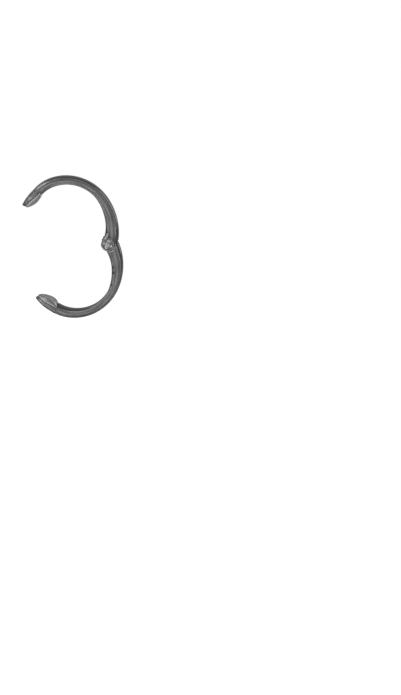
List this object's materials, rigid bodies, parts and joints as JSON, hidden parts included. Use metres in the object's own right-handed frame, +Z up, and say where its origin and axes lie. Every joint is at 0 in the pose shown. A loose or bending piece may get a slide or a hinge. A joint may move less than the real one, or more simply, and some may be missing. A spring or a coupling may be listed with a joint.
{
  "type": "purse hook",
  "caption": "Folding purse hook: two hinged claw arms of clear smoke-grey plastic with padded tips, open into a hook, closing to a ring.",
  "frame": {"origin": "middle of the flat on the upper tip pad, where the hook hangs", "axes": "+Z up as the loaded hook hangs in the picture, +X towards the hinge, +Y away from the viewer along the hinge pin"},
  "size_m": [0.0751, 0.0145, 0.1071],
  "materials": {
    "smoke_plastic": "clear smoke-grey, polished moulding",
    "soft_pad": "smoke-grey soft moulding, satin",
    "rivet_steel": "bright plated steel",
    "spring_steel": "dark spring strip, its crests worn bright",
    "slip_plastic": "natural white slip plastic"
  },
  "bodies": {
    "upper": {"upper_arm": "smoke_plastic", "upper_tip_pad": "soft_pad", "hinge_pin": "rivet_steel", "rivet_cap": "rivet_steel", "wave_washer": "spring_steel", "plain_washer": "rivet_steel", "thrust_washer_near": "slip_plastic", "thrust_washer_far": "slip_plastic"},
    "lower": {"lower_arm": "smoke_plastic", "lower_tip_pad": "soft_pad"}
  },
  "joints": [
    {"name": "hook_hinge", "type": "hinge", "parent": "upper", "child": "lower", "pos_m": [0.05172, 0, -0.03074], "axis": [0, 1, 0], "range_deg": [0, 60]}
  ]
}
